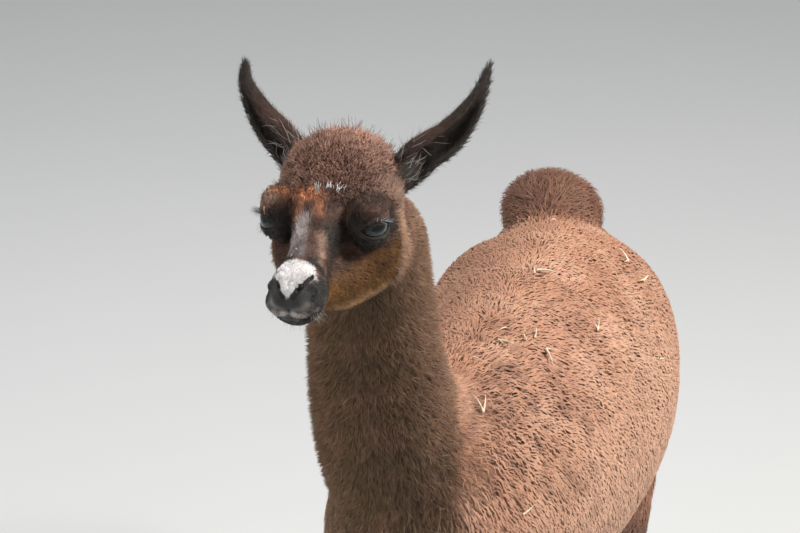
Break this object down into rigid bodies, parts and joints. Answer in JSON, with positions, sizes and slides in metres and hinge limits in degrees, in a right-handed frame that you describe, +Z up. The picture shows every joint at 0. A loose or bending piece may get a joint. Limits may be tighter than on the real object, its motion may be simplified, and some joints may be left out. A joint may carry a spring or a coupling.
{
  "type": "llama",
  "caption": "Still, life-size model of a young brown llama standing on four two-toed feet, with its head raised and turned a little, upright banana-shaped ears and a woolly coat.",
  "frame": {"origin": "on the floor under the middle of the whole model's bounding box", "axes": "+Z up, -Y the way the body faces, +X the llama's left side"},
  "size_m": [0.3792, 1.0678, 1.2399],
  "materials": {
    "body_wool": "matte crimped wool, rust brown with lighter tips",
    "neck_wool": "matte plush wool, dark brown",
    "face_coat": "short dark coat with tan cheeks, rust brows and a white nose patch",
    "leg_coat": "short matte dark brown coat",
    "eye": "wet and glossy, dark brown",
    "toenail": "dark horn"
  },
  "bodies": {
    "root": {"trunk": "body_wool", "neck": "neck_wool", "tail": "neck_wool", "head": "face_coat", "ear_left": "face_coat", "eye_left": "eye", "ear_right": "face_coat", "eye_right": "eye", "leg_upper_front_left": "body_wool", "leg_lower_front_left": "leg_coat", "foot_front_left": "leg_coat", "nail_front_left_outer": "toenail", "nail_front_left_inner": "toenail", "leg_upper_front_right": "body_wool", "leg_lower_front_right": "leg_coat", "foot_front_right": "leg_coat", "nail_front_right_outer": "toenail", "nail_front_right_inner": "toenail", "leg_upper_back_left": "body_wool", "leg_lower_back_left": "leg_coat", "foot_back_left": "leg_coat", "nail_back_left_outer": "toenail", "nail_back_left_inner": "toenail", "leg_upper_back_right": "body_wool", "leg_lower_back_right": "leg_coat", "foot_back_right": "leg_coat", "nail_back_right_outer": "toenail", "nail_back_right_inner": "toenail"}
  },
  "joints": []
}
